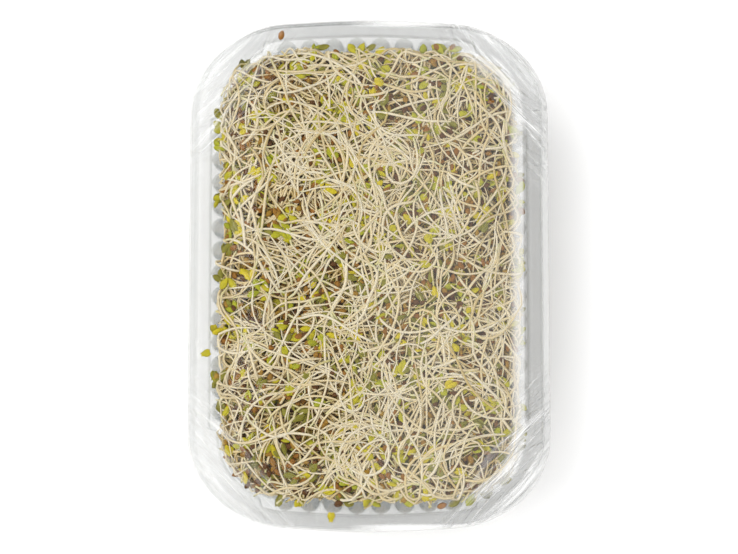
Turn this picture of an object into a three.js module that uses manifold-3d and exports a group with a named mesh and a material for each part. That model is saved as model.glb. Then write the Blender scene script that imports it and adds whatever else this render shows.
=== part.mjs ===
// A clear plastic tray of alfalfa sprouts, wrapped in stretch film. Millimetres, +Z up, +Y along the tray.
// The origin is on the surface that the tray stands on, under the middle of the tray.
import * as THREE from "three";
import { mergeVertices } from "three/addons/utils/BufferGeometryUtils.js";
import Module from "manifold-3d";

const wasm = await Module();
wasm.setup();

// Every outline is this rectangle of half sizes, grown outwards by a reach, which rounds its corners.
const CORE_X = 26.5;
const CORE_Y = 50.2;
const END_BOW = 1.8; // how far the middle of each short end bulges
const BOW_SPAN = 45; // the bulge fades out this far from the middle
const CORNER_STEPS = 6;

// Thicknesses and clearances
const FILM = 0.25;
const WALL = 0.5;
const GAP = 0.3; // between pieces that touch

// Heights
const FLOOR_Z = FILM + GAP;
const FOOT_Z = 4.4; // where the rounded foot of the wall ends
const LEDGE_Z = 35.4;
const RIM_Z = 38;
const SKIRT_Z = 34;

// Reaches of the tray
const FLOOR_REACH = 12;
const HEEL_REACH = 14.2;
const FOOT_REACH = 15.1;
const WALL_REACH = 19.5;
const STEP_REACH = 20.1;
const FLANGE_REACH = 27.25;
const SKIRT_SIDE_REACH = 29.2;
const SKIRT_END_REACH = 27.5;
const HEEL_RISE = 1.1;

// The ledge that the flutes open into, on each side and end
const LEDGE_WIDTH = 2.6;
const SIDE_LEDGE = 48.2;
const SHOULDER = 0.9; // length of the step at each end of a side's ledge
const LEDGE_CORNER_STEPS = 1; // corner steps that an end's ledge runs round

// Half-round flutes in the walls
const SIDE_FLUTES = 13;
const SIDE_PITCH = 7.15;
const END_FLUTES = 8;
const END_PITCH = 7.4;
const FLUTE_SIDES = 6;
const FLUTE_TOP_RADIUS = 3;
const FLUTE_FOOT_RADIUS = 2.3;
const FLUTE_LOW_Z = 2.6;

// Film
const FILM_CROWN = 1.4; // rise over the middle of the mat
const FILM_CROWN_REACH = 5;
const FILM_CORNER_STEPS = 6;
const FILM_FOOT_REACH = 18.5;
const FILM_FOOT_Z = 1.8;
const FILM_BASE_REACH = 16;
const FILM_LAP_REACH = 1.5; // the film folds in under the base up to here
const TENT_SLOPE = 0.9;
const TENT_SIDES = 10;

// Bunches of sprouts
const COLUMNS = 3;
const ROWS = 4;
const SEED = 41;
const MAT_X = 45.3;
const MAT_Y = 70.6;
const MAT_TOP = 38.2;
const BUNCH_GAP = 0.8;
const WALL_GAP = 0.5; // between the sprouts and the wall
const TOP_SPROUTS = 8;
const SIDE_SPROUTS = 2;
const SEEDS = 3;
const SEED_EDGE = 0.2; // share of a bunch's width along its sides that has no seeds
const WAVE = 0.5; // height of the mat's own ups and downs
const WAVE_LENGTH_X = 5;
const WAVE_LENGTH_Y = 6;

// One sprout
const STEM_RADIUS = 0.58;
const STEM_SIDES = 3;
const STEM_SEGMENTS = 6;
const PATH_POINTS = 10;
const SHORTEST = 24;
const LONGEST = 36;
const SLOWEST_BEND = 0.03; // radians of turn in a millimetre of stem
const FASTEST_BEND = 0.13;
const SHARPEST_TURN = 0.55; // radians between two points of a path
const BEND_FLIP_CHANCE = 0.12; // that a stem starts to bend the other way at a point
const START_SPREAD = 0.7; // share of the bunch's half width in which stems start
const TURN_BACK_FROM = 0.5; // share of the bunch's half width where stems begin to turn back
const ROOT_DEPTH = 4;
const LOWEST_RISE = 1.5; // of the lowest stem over the core
const RISING_SHARE = 0.25; // share of a stem's length in which it climbs to its level
const SIDE_TURN = [0.7, 1.5]; // radians round the bunch that a stem by the wall covers
const SIDE_START_Z = [5, 24];
const SIDE_CLIMB = [2, 12];
const SIDE_CLEARANCE = 0.1;
const SIDE_ROOT_SHARE = 0.2; // share of its length in which it comes out of the core
const SIDE_ROOT_PULL = 0.35;
const LEAF = { length: 4.4, width: 2.5, thickness: 1 };
const SEED_COAT = { length: 3.4, width: 2.2, thickness: 1.7 };
const LENS_REACH = 0.42; // share of a leaf's or seed's length from its base to its middle
const LEAF_TURN = [0.3, 0.8]; // radians between a seed leaf and its stem's line
const LEAF_ROOM = 0.8; // share of a leaf's length that has to be free ahead of the stem

// The dense middle of a bunch, which its sprouts stand out of
const CORE_SIDES = 10;
const CORE_INSET = 0.7;
const CORE_LUMP = 1.1;
const CORE_LEVELS = [0, 0.45, 0.84, 1];
const CORE_ROUND = 2.5; // how far its top edge is rounded off
const CORE_ROUND_FROM = 0.8; // share of its height where the rounding starts
const CORE_LOW_TOP = 29;
const CORE_HIGH_TOP = 31;

// Bits that lie apart from the mat
const RIM_BITS = [
  { name: "seed_coat_on_rim", kind: "coat", x: -27.5, y: 74.3, turn: 1.3 },
  { name: "cotyledons_on_rim", kind: "leaves", x: -50.7, y: -25.2, turn: 0.3 },
  { name: "sprout_head_on_rim", kind: "leaves", x: -11.6, y: -75.6, turn: 1.5 },
];
const LEDGE_BITS = [
  { name: "seed_coats_on_ledge", kind: "coat", x: 22.2, y: -72.0, turn: 0.4 },
  { name: "cotyledons_on_ledge_1", kind: "leaves", x: -48.1, y: -17.9, turn: 1.7 },
  { name: "cotyledons_on_ledge_2", kind: "leaves", x: -48.1, y: -32.2, turn: 1.4 },
];
const BIT_SCALE = 0.8;
const BIT_SPREAD = 0.35;

const sproutWhite = new THREE.MeshStandardMaterial({ color: 0xdcd2ae, roughness: 0.45, metalness: 0 });
const leafGreen = new THREE.MeshStandardMaterial({ color: 0xb8b62a, roughness: 0.5, metalness: 0 });
const coatBrown = new THREE.MeshStandardMaterial({ color: 0x8a4a18, roughness: 0.5, metalness: 0 });
const clearPlastic = new THREE.MeshStandardMaterial({
  color: 0xe6ebe8,
  roughness: 0.08,
  metalness: 0,
  transparent: true,
  opacity: 0.35,
});
const clearFilm = new THREE.MeshStandardMaterial({
  color: 0xf4f7f6,
  roughness: 0.05,
  metalness: 0,
  transparent: true,
  opacity: 0.2,
});

// A repeatable draw between 0 and 1.
function randomFrom(seed) {
  let state = seed >>> 0;
  return () => {
    state = (state + 0x6d2b79f5) >>> 0;
    let t = Math.imul(state ^ (state >>> 15), state | 1);
    t ^= t + Math.imul(t ^ (t >>> 7), t | 61);
    return ((t ^ (t >>> 14)) >>> 0) / 2 ** 32;
  };
}

const mix = (a, b, t) => a + (b - a) * t;
const clamp = (v, low, high) => Math.min(high, Math.max(low, v));
const smooth = (t) => {
  const u = clamp(t, 0, 1);
  return u * u * (3 - 2 * u);
};

// Closed geometry to solid, with its shared vertices merged.
function solidOf(geometry, closeness = 1e-4) {
  const bare = geometry.clone();
  bare.deleteAttribute("normal");
  bare.deleteAttribute("uv");
  const merged = mergeVertices(bare, closeness);
  return new wasm.Manifold(
    new wasm.Mesh({
      numProp: 3,
      vertProperties: merged.attributes.position.array,
      triVerts: new Uint32Array(merged.index.array),
    }),
  );
}

function geometryOf(solid) {
  const { numProp, vertProperties, triVerts } = solid.getMesh();
  const position = new Float32Array((vertProperties.length / numProp) * 3);
  for (let i = 0; i < position.length / 3; i++) {
    position.set(vertProperties.subarray(i * numProp, i * numProp + 3), i * 3);
  }
  const geometry = new THREE.BufferGeometry();
  geometry.setAttribute("position", new THREE.BufferAttribute(position, 3));
  geometry.setIndex(new THREE.BufferAttribute(triVerts, 1));
  return geometry;
}

// The largest body of a solid: loose scraps and sealed hollows go.
function largestOf(solid) {
  const bodies = solidOf(geometryOf(solid), 1e-3).decompose();
  bodies.sort((a, b) => b.volume() - a.volume());
  return bodies[0];
}

function meshOf(name, solid, material) {
  const geometry = geometryOf(solid);
  geometry.computeVertexNormals();
  const mesh = new THREE.Mesh(geometry, material);
  mesh.name = name;
  return mesh;
}

// The bulge of a short end at x.
function bow(x) {
  return Math.abs(x) < BOW_SPAN ? END_BOW * Math.cos((Math.PI * x) / (2 * BOW_SPAN)) ** 2 : 0;
}

// Points of one outline, anticlockwise from above. It stands out by ledge where the flutes are.
function outline(z, reach, { ends = reach, ledge = 0, steps = CORNER_STEPS, plain = false } = {}) {
  const quarter = [];
  if (!plain) {
    quarter.push([CORE_X + reach + ledge, SIDE_LEDGE]);
    quarter.push([CORE_X + reach, SIDE_LEDGE + SHOULDER]);
  }
  for (let i = 0; i <= steps; i++) {
    const angle = (Math.PI / 2) * (i / steps);
    const extra = i >= steps - LEDGE_CORNER_STEPS ? ledge : 0;
    quarter.push([
      CORE_X + (reach + extra) * Math.cos(angle),
      CORE_Y + (ends + extra) * Math.sin(angle),
    ]);
  }
  quarter.push([CORE_X / 2, CORE_Y + ends + ledge]);
  quarter.push([0, CORE_Y + ends + ledge]);
  const bowed = quarter.map(([x, y]) => [x, y + bow(x) * Math.min(1, y / CORE_Y)]);
  const mirrored = bowed.slice(0, -1).reverse().map(([x, y]) => [-x, y]);
  const half = [...bowed, ...mirrored];
  const whole = [...half, ...half.map(([x, y]) => [-x, -y])];
  return whole.map(([x, y]) => new THREE.Vector3(x, y, z));
}

// A capped solid through rings of points, from the top one down its outside to the last one.
function stackOf(rings, [x, y] = [0, 0]) {
  const count = rings[0].length;
  const positions = rings.flat().flatMap((p) => [p.x, p.y, p.z]);
  const middle = positions.length / 3;
  const last = (rings.length - 1) * count;
  positions.push(x, y, rings[0][0].z, x, y, rings.at(-1)[0].z);
  const index = [];
  for (let i = 0; i < count; i++) {
    const j = (i + 1) % count;
    index.push(middle, i, j, middle + 1, last + j, last + i);
    for (let k = 0; k < last; k += count) {
      index.push(k + i, k + count + i, k + count + j, k + i, k + count + j, k + j);
    }
  }
  const geometry = new THREE.BufferGeometry();
  geometry.setAttribute("position", new THREE.Float32BufferAttribute(positions, 3));
  geometry.setIndex(index);
  return solidOf(geometry);
}

// For each flute, where its middle is in plan when the wall has a given reach.
function flutePlaces() {
  const places = [];
  for (const side of [-1, 1]) {
    for (let i = 0; i < SIDE_FLUTES; i++) {
      const y = (i - (SIDE_FLUTES - 1) / 2) * SIDE_PITCH;
      places.push((reach) => [side * (CORE_X + reach), y]);
    }
    for (let i = 0; i < END_FLUTES; i++) {
      const x = (i - (END_FLUTES - 1) / 2) * END_PITCH;
      places.push((reach) => [x, side * (CORE_Y + reach + bow(x))]);
    }
  }
  return places;
}

// A tapered round bar that leans with the wall, with its radius grown by extra.
function fluteBar(place, extra, low, high) {
  const along = (z) => (z - FOOT_Z) / (LEDGE_Z - FOOT_Z);
  const radius = (z) => mix(FLUTE_FOOT_RADIUS, FLUTE_TOP_RADIUS, along(z)) + extra;
  const bar = new THREE.CylinderGeometry(radius(high), radius(low), high - low, FLUTE_SIDES);
  bar.rotateX(Math.PI / 2);
  bar.translate(0, 0, (low + high) / 2);
  const p = bar.getAttribute("position");
  for (let i = 0; i < p.count; i++) {
    const [x, y] = place(mix(FOOT_REACH, WALL_REACH, along(p.getZ(i))));
    p.setXY(i, p.getX(i) + x, p.getY(i) + y);
  }
  return solidOf(bar);
}

function tray() {
  const skirt = { ends: SKIRT_END_REACH };
  const skirtInside = { ends: SKIRT_END_REACH - WALL };
  const ledge = { ledge: LEDGE_WIDTH };
  const body = stackOf([
    outline(RIM_Z, FLANGE_REACH),
    outline(SKIRT_Z, SKIRT_SIDE_REACH, skirt),
    outline(SKIRT_Z, SKIRT_SIDE_REACH - WALL, skirtInside),
    outline(RIM_Z - WALL, FLANGE_REACH - WALL),
    outline(RIM_Z - WALL, STEP_REACH + WALL, ledge),
    outline(LEDGE_Z - WALL, STEP_REACH + WALL, ledge),
    outline(LEDGE_Z - WALL, WALL_REACH + WALL),
    outline(FOOT_Z, FOOT_REACH + WALL),
    outline(FLOOR_Z + HEEL_RISE, HEEL_REACH + WALL),
    outline(FLOOR_Z, FLOOR_REACH + WALL / 2),
  ]);
  const cavity = stackOf([
    outline(RIM_Z + 1, STEP_REACH, ledge),
    outline(LEDGE_Z, STEP_REACH, ledge),
    outline(LEDGE_Z, WALL_REACH),
    outline(FOOT_Z, FOOT_REACH),
    outline(FLOOR_Z + WALL + HEEL_RISE, HEEL_REACH),
    outline(FLOOR_Z + WALL, FLOOR_REACH),
  ]);
  const places = flutePlaces();
  const skins = places.map((place) => fluteBar(place, WALL, FLUTE_LOW_Z - WALL, LEDGE_Z - WALL / 2));
  const hollows = places.map((place) => fluteBar(place, 0, FLUTE_LOW_Z, LEDGE_Z + WALL));
  const outside = wasm.Manifold.union([body, ...skins]);
  const inside = wasm.Manifold.union([cavity, ...hollows]);
  return largestOf(outside.subtract(inside));
}

// Outlines down one face of the film, at a distance outside its inner face.
function filmFace(out) {
  const level = RIM_Z + GAP + out;
  const ring = (z, reach, ends = reach) => outline(z, reach, { ends, steps: FILM_CORNER_STEPS, plain: true });
  return [
    ring(level + FILM_CROWN, FILM_CROWN_REACH),
    ring(level, WALL_REACH),
    ring(level, FLANGE_REACH + out),
    ring(SKIRT_Z, SKIRT_SIDE_REACH + GAP + out, SKIRT_END_REACH + GAP + out),
    ring(FILM_FOOT_Z, FILM_FOOT_REACH + out),
    ring(FILM - out, FILM_BASE_REACH),
    ring(FILM - out, FILM_LAP_REACH),
  ];
}

// A tapered lid over a bit on the rim, with walls at the given distance outside the bit's own room.
function tent(bit, out, low) {
  const top = RIM_Z + GAP + bitSize(bit).height + GAP + out;
  const wide = bitSize(bit).half + GAP + out;
  const cone = new THREE.CylinderGeometry(wide, wide + (top - low) * TENT_SLOPE, top - low, TENT_SIDES);
  cone.rotateX(Math.PI / 2);
  cone.translate(bit.x, bit.y, (top + low) / 2);
  return solidOf(cone);
}

function film() {
  const skin = stackOf([...filmFace(FILM), ...filmFace(0).reverse()]);
  const level = RIM_Z + GAP;
  const tents = RIM_BITS.map((bit) => tent(bit, FILM, level + FILM / 2));
  const rooms = RIM_BITS.map((bit) => tent(bit, 0, level - GAP / 2));
  return largestOf(wasm.Manifold.union([skin, ...tents]).subtract(wasm.Manifold.union(rooms)));
}

// Half width and height of a bit that lies apart.
function bitSize({ kind }) {
  const shape = kind === "coat" ? SEED_COAT : LEAF;
  return { half: (shape.length / 2) * BIT_SCALE, height: shape.thickness };
}

// The room of one bunch: its share of the mat.
function cellOf(column, row) {
  const width = (2 * MAT_X) / COLUMNS;
  const depth = (2 * MAT_Y) / ROWS;
  const x = -MAT_X + column * width;
  const y = -MAT_Y + row * depth;
  const inset = BUNCH_GAP / 2;
  return {
    low: [x + inset, y + inset],
    high: [x + width - inset, y + depth - inset],
    middle: [x + width / 2, y + depth / 2],
    corner: Math.hypot(width, depth) / 2,
  };
}

// Reach of the pocket's wall at a height.
function wallReach(z) {
  if (z > FOOT_Z) return mix(FOOT_REACH, WALL_REACH, (z - FOOT_Z) / (LEDGE_Z - FOOT_Z));
  const rise = (z - FLOOR_Z - WALL) / (FOOT_Z - FLOOR_Z - WALL);
  return mix(FLOOR_REACH, FOOT_REACH, Math.sqrt(clamp(rise, 0, 1)));
}

// The point, moved as little as needed to be inside the cell and the pocket with a margin round it.
function held(point, cell, margin) {
  const z = clamp(point.z, FLOOR_Z + WALL + GAP + margin, MAT_TOP - margin);
  const room = Math.min(wallReach(z), WALL_REACH) - WALL_GAP - margin;
  const x = clamp(point.x, cell.low[0] + margin, cell.high[0] - margin);
  const y = clamp(point.y, cell.low[1] + margin, cell.high[1] - margin);
  const overX = Math.max(0, Math.abs(x) - CORE_X);
  const overY = Math.max(0, Math.abs(y) - CORE_Y);
  const shrink = Math.min(1, room / Math.max(room, Math.hypot(overX, overY)));
  return new THREE.Vector3(
    Math.sign(x) * (Math.abs(x) - overX * (1 - shrink)),
    Math.sign(y) * (Math.abs(y) - overY * (1 - shrink)),
    z,
  );
}

// The dense middle of a bunch: a lumpy block with a rounded top.
function bunchCore(cell, random) {
  const top = mix(CORE_LOW_TOP, CORE_HIGH_TOP, random());
  const base = FLOOR_Z + WALL + GAP;
  const rings = CORE_LEVELS.map((level) => {
    const inset = CORE_INSET + CORE_ROUND * smooth((level - CORE_ROUND_FROM) / (1 - CORE_ROUND_FROM));
    const ring = [];
    for (let i = 0; i < CORE_SIDES; i++) {
      const angle = (2 * Math.PI * i) / CORE_SIDES;
      const far = new THREE.Vector3(
        cell.middle[0] + cell.corner * Math.cos(angle),
        cell.middle[1] + cell.corner * Math.sin(angle),
        mix(base, top, level),
      );
      const point = held(far, cell, 0);
      const away = Math.hypot(point.x - cell.middle[0], point.y - cell.middle[1]);
      const pull = (inset + CORE_LUMP * random()) / away;
      point.x = mix(point.x, cell.middle[0], pull);
      point.y = mix(point.y, cell.middle[1], pull);
      ring.push(point);
    }
    return ring;
  });
  return { top, solid: stackOf(rings.reverse(), cell.middle) };
}

// The mat's ups and downs at a place.
const wave = (x, y) => WAVE * Math.sin(x / WAVE_LENGTH_X) * Math.cos(y / WAVE_LENGTH_Y);

// The line of a stem that rises out of the core and winds over it, turning back near the cell's sides.
function topPath(cell, core, level, random) {
  const step = mix(SHORTEST, LONGEST, random()) / PATH_POINTS;
  const [homeX, homeY] = cell.middle;
  const half = [(cell.high[0] - cell.low[0]) / 2, (cell.high[1] - cell.low[1]) / 2];
  let x = homeX + half[0] * mix(-START_SPREAD, START_SPREAD, random());
  let y = homeY + half[1] * mix(-START_SPREAD, START_SPREAD, random());
  let heading = 2 * Math.PI * random();
  let bend = (random() < 0.5 ? -1 : 1) * mix(SLOWEST_BEND, FASTEST_BEND, random());
  const points = [];
  for (let i = 0; i <= PATH_POINTS; i++) {
    const rise = smooth(i / PATH_POINTS / RISING_SHARE);
    const z = mix(core.top - ROOT_DEPTH, level, rise) + rise * wave(x, y);
    points.push(held(new THREE.Vector3(x, y, z), cell, STEM_RADIUS));
    const away = Math.max(Math.abs(x - homeX) / half[0], Math.abs(y - homeY) / half[1]);
    const home = Math.atan2(homeY - y, homeX - x) - heading;
    const turn = Math.atan2(Math.sin(home), Math.cos(home));
    const pull = smooth((away - TURN_BACK_FROM) / (1 - TURN_BACK_FROM));
    heading += mix(bend * step, clamp(turn, -SHARPEST_TURN, SHARPEST_TURN), pull);
    x += step * Math.cos(heading);
    y += step * Math.sin(heading);
    if (random() < BEND_FLIP_CHANCE) bend = -bend;
  }
  return points;
}

// The line of a stem that comes out of the core's side and runs along the wall.
function sidePath(cell, random) {
  const start = 2 * Math.PI * random();
  const swing = mix(...SIDE_TURN, random()) * (random() < 0.5 ? -1 : 1);
  const low = mix(...SIDE_START_Z, random());
  const lift = mix(...SIDE_CLIMB, random());
  const points = [];
  for (let i = 0; i <= PATH_POINTS; i++) {
    const t = i / PATH_POINTS;
    const angle = start + swing * t;
    const z = low + lift * t;
    const far = new THREE.Vector3(
      cell.middle[0] + cell.corner * Math.cos(angle),
      cell.middle[1] + cell.corner * Math.sin(angle),
      z,
    );
    const out = held(far, cell, STEM_RADIUS + SIDE_CLEARANCE);
    const depth = SIDE_ROOT_PULL * (1 - smooth(t / SIDE_ROOT_SHARE));
    out.x = mix(out.x, cell.middle[0], depth);
    out.y = mix(out.y, cell.middle[1], depth);
    points.push(out);
  }
  return points;
}

function stem(points) {
  const section = new THREE.Shape();
  for (let i = 0; i < STEM_SIDES; i++) {
    const angle = (2 * Math.PI * i) / STEM_SIDES;
    const [x, y] = [STEM_RADIUS * Math.cos(angle), STEM_RADIUS * Math.sin(angle)];
    if (i === 0) section.moveTo(x, y);
    else section.lineTo(x, y);
  }
  const path = new THREE.CatmullRomCurve3(points);
  const settings = { steps: STEM_SEGMENTS, extrudePath: path, bevelEnabled: false };
  return solidOf(new THREE.ExtrudeGeometry(section, settings));
}

// A flat lens with eight faces, from base along a direction.
function lens({ length, width, thickness }, base, direction) {
  const body = new THREE.OctahedronGeometry(0.5);
  body.scale(length, width, thickness);
  body.translate(length * LENS_REACH, 0, 0);
  const along = direction.clone().normalize();
  const side = new THREE.Vector3(0, 0, 1).cross(along).normalize();
  const up = along.clone().cross(side);
  body.applyMatrix4(new THREE.Matrix4().makeBasis(along, side, up).setPosition(base));
  return body;
}

// The pair of seed leaves at the end of a stem, spread in a V. Near the cell's side they turn inwards.
function leafPair(points, cell, random) {
  const tip = points.at(-1);
  const base = held(tip, cell, LEAF.width / 2);
  const ahead = tip.clone().sub(points.at(-2)).setZ(0).normalize();
  const [homeX, homeY] = cell.middle;
  const inwards = new THREE.Vector3(homeX - tip.x, homeY - tip.y, 0).normalize();
  const reachOf = (way) => held(base.clone().addScaledVector(way, LEAF.length), cell, LEAF.width / 2);
  const open = reachOf(ahead).distanceTo(base) > LEAF.length * LEAF_ROOM;
  return [-1, 1].map((side) => {
    const spread = side * mix(...LEAF_TURN, random());
    const direction = (open ? ahead : inwards).clone().applyAxisAngle(new THREE.Vector3(0, 0, 1), spread);
    return solidOf(lens(LEAF, base, reachOf(direction).sub(base)));
  });
}

function seedCoat(cell, core, random) {
  const place = new THREE.Vector3(
    mix(cell.low[0], cell.high[0], mix(SEED_EDGE, 1 - SEED_EDGE, random())),
    mix(cell.low[1], cell.high[1], mix(SEED_EDGE, 1 - SEED_EDGE, random())),
    core.top,
  );
  const angle = 2 * Math.PI * random();
  const direction = new THREE.Vector3(Math.cos(angle), Math.sin(angle), 0);
  return solidOf(lens(SEED_COAT, place, direction));
}

function bunch(column, row) {
  const cell = cellOf(column, row);
  const random = randomFrom(SEED + column * ROWS + row);
  const core = bunchCore(cell, random);
  const pieces = [core.solid];
  for (let i = 0; i < TOP_SPROUTS; i++) {
    const share = i / (TOP_SPROUTS - 1);
    const level = mix(core.top + LOWEST_RISE, MAT_TOP - STEM_RADIUS - WAVE, share);
    const points = topPath(cell, core, level, random);
    pieces.push(stem(points), ...leafPair(points, cell, random));
  }
  for (let i = 0; i < SIDE_SPROUTS; i++) {
    pieces.push(stem(sidePath(cell, random)));
  }
  for (let i = 0; i < SEEDS; i++) pieces.push(seedCoat(cell, core, random));
  return largestOf(wasm.Manifold.union(pieces));
}

// A seed coat or a pair of seed leaves that lies flat with its underside at a height.
function looseBit(bit, z) {
  const shape = bit.kind === "coat" ? SEED_COAT : LEAF;
  const angles = bit.kind === "coat" ? [bit.turn] : [bit.turn - BIT_SPREAD, bit.turn + BIT_SPREAD];
  const size = { ...shape, length: shape.length * BIT_SCALE, width: shape.width * BIT_SCALE };
  const halves = angles.map((angle) => {
    const direction = new THREE.Vector3(Math.cos(angle), Math.sin(angle), 0);
    const base = new THREE.Vector3(bit.x, bit.y, z + shape.thickness / 2);
    base.addScaledVector(direction, -size.length * LENS_REACH);
    return solidOf(lens(size, base, direction));
  });
  return largestOf(wasm.Manifold.union(halves));
}

const group = new THREE.Group();
group.add(meshOf("tray", tray(), clearPlastic));
group.add(meshOf("film", film(), clearFilm));
for (let row = 0; row < ROWS; row++) {
  for (let column = 0; column < COLUMNS; column++) {
    const number = String(row * COLUMNS + column + 1).padStart(2, "0");
    group.add(meshOf(`sprouts_${number}`, bunch(column, row), sproutWhite));
  }
}
for (const bit of RIM_BITS) {
  group.add(meshOf(bit.name, looseBit(bit, RIM_Z + GAP), bit.kind === "coat" ? coatBrown : leafGreen));
}
for (const bit of LEDGE_BITS) {
  group.add(meshOf(bit.name, looseBit(bit, LEDGE_Z + GAP), bit.kind === "coat" ? coatBrown : leafGreen));
}

export default group;
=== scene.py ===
import math

import bpy
import numpy as np
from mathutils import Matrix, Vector


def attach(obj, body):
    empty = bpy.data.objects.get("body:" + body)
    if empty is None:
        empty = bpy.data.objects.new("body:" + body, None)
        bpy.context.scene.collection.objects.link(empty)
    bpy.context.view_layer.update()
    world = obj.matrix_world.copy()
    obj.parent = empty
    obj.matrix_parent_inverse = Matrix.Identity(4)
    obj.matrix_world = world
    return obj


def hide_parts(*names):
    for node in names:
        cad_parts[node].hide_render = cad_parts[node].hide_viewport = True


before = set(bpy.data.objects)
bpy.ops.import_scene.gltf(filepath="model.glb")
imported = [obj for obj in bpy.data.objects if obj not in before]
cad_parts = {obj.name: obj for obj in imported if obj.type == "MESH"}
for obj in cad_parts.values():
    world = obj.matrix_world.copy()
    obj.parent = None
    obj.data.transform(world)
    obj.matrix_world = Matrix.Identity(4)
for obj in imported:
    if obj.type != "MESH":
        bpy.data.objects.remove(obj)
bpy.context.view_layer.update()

MM = 0.001

# Every outline is this rectangle of half sizes, grown outwards by a reach, which rounds its corners
CORE_X = 26.5
CORE_Y = 50.2
END_BOW = 1.8
BOW_SPAN = 45.0

# Thicknesses and heights of the tray
FILM = 0.25
WALL = 0.5
GAP = 0.3
FLOOR_Z = FILM + GAP
INSIDE_Z = FLOOR_Z + WALL
FOOT_Z = 4.4
LEDGE_Z = 35.4
RIM_Z = 38.0
SKIRT_Z = 34.0

# Reaches of the tray
FLOOR_REACH = 12.0
HEEL_REACH = 14.2
FOOT_REACH = 15.1
WALL_REACH = 19.5
STEP_REACH = 20.1
FLANGE_REACH = 27.25
SKIRT_SIDE_REACH = 29.2
SKIRT_END_REACH = 27.5
HEEL_RISE = 1.1
LEDGE_WIDTH = 2.6
SIDE_LEDGE = (48.2, 49.1)  # the ledge is whole up to the first and gone at the second, from the side's middle
END_LEDGE = (31.5, 34.0)

# Flutes
SIDE_FLUTES = 13
SIDE_PITCH = 7.15
END_FLUTES = 8
END_PITCH = 7.4
FLUTE_TOP_RADIUS = 3.0
FLUTE_FOOT_RADIUS = 2.3
FLUTE_LOW_Z = 2.6
FLUTE_RISE = 0.9  # height in which a flute gets its full depth
FLUTE_POINTS = 11
FLUTE_ROOM = 3.9  # nearer a flute's middle than this, the wall has no points but the flute's
WALL_HEIGHTS = (30.0, 24.0, 18.0, 12.0, 8.0, FOOT_Z, 3.6, 3.2, 2.9, FLUTE_LOW_Z)

# Painted shade on the flange: the share by which its tint is darkened, at the ends and on the right
END_PAINTED_SHADE = 0.107
RIGHT_PAINTED_SHADE = 0.01

# Film
FILM_CROWN = 1.4
FILM_CROWN_REACH = 5.0
FILM_FOOT_REACH = 18.5
FILM_FOOT_Z = 1.8
FILM_BASE_REACH = 16.0
FILM_LAP_REACH = 1.5
SHEET = 0.06  # thickness of the visible film
SHEET_Z = SHEET + 0.02  # height of the sheet's middle under the base
FILM_POINTS = 440
RUMPLES = ((0.22, 6.0, 3), (0.12, 2.7, 5))  # height, width and seed
TENT_TOP = 1.6
TENT_SLOPE = 3.2
TENT_HEIGHT = {"coat": 2.3, "leaves": 1.7}
FOLD_DEPTH = 0.55
LAP_RAGGED = 2.5

# How creased the film is, and how white its creases round the corners are, partly as the film's own whitening
# at folds and partly as painted highlight. By corner: the left and right of the bottom end, then of the top
# end.
CORNER_CREASES = ((0.4, 1.15), (0.45, 1.0))
CORNER_ARCS = ((0.3, 1.0), (0.25, 0.6))
ARCS = (17.3, 18.1, 18.7, 24.6, 25.3, 26.2, 26.7)  # how far out the creases round a corner cross its diagonal
ARC_WIDTH = 0.42
EDGE_CREASES = 0.05
MAT_HAZE = 0.02
# Milky white along the film's outer edge on the right, as a painted highlight
SKIRT_HIGHLIGHT = 0.4
LEDGE_HAZE = 0.24
# Whitened creases round the corners: partly the film's own whitening at folds, partly painted highlight
ARC_HAZE_AND_HIGHLIGHT = 0.6

# Bits that lie apart from the mat: name, kind, place and turn
RIM_BITS = (
    ("seed_coat_on_rim", "coat", -27.5, 74.3, 1.3),
    ("cotyledons_on_rim", "leaves", -50.7, -25.2, 0.3),
    ("sprout_head_on_rim", "leaves", -11.6, -75.6, 1.5),
)
LEDGE_BITS = (
    ("seed_coats_on_ledge", "coat", 22.2, -72.0, 0.4),
    ("cotyledons_on_ledge_1", "leaves", -48.1, -17.9, 1.7),
    ("cotyledons_on_ledge_2", "leaves", -48.1, -32.2, 1.4),
)
BIT_SPREAD = 0.35

# Bunches of sprouts, and the sprouts that the part's solids have too
COLUMNS = 3
ROWS = 4
SEED = 41
MAT = np.array((45.3, 70.6))  # half sizes of its plan
MAT_TOP = 38.2
BUNCH_SIZE = 2 * MAT / (COLUMNS, ROWS)
BUNCH_GAP = 0.8
WALL_GAP = 0.5
TOP_SPROUTS = 8
SIDE_SPROUTS = 2
WAVE = 0.5
WAVE_LENGTH_X = 5
WAVE_LENGTH_Y = 6
STEM_RADIUS = 0.58
PATH_POINTS = 10
SHORTEST = 24.0
LONGEST = 36.0
SLOWEST_BEND = 0.03
FASTEST_BEND = 0.13
SHARPEST_TURN = 0.55
BEND_FLIP_CHANCE = 0.12
START_SPREAD = 0.7
TURN_BACK_FROM = 0.5
ROOT_DEPTH = 4.0
LOWEST_RISE = 1.5
RISING_SHARE = 0.25
SIDE_TURN = (0.7, 1.5)
SIDE_START_Z = (5, 24)
SIDE_CLIMB = (2, 12)
SIDE_CLEARANCE = 0.1
SIDE_ROOT_SHARE = 0.2
SIDE_ROOT_PULL = 0.35
LEAF_TURN = (0.3, 0.8)
LEAF_ROOM = 0.8
LEAF_LENGTH = 4.4
LEAF_WIDTH = 2.5
CORE_DRAWS = 40  # the draws that shaped the core of a bunch in the part's solids
CORE_LOW_TOP = 29.0
CORE_HIGH_TOP = 31.0

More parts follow.
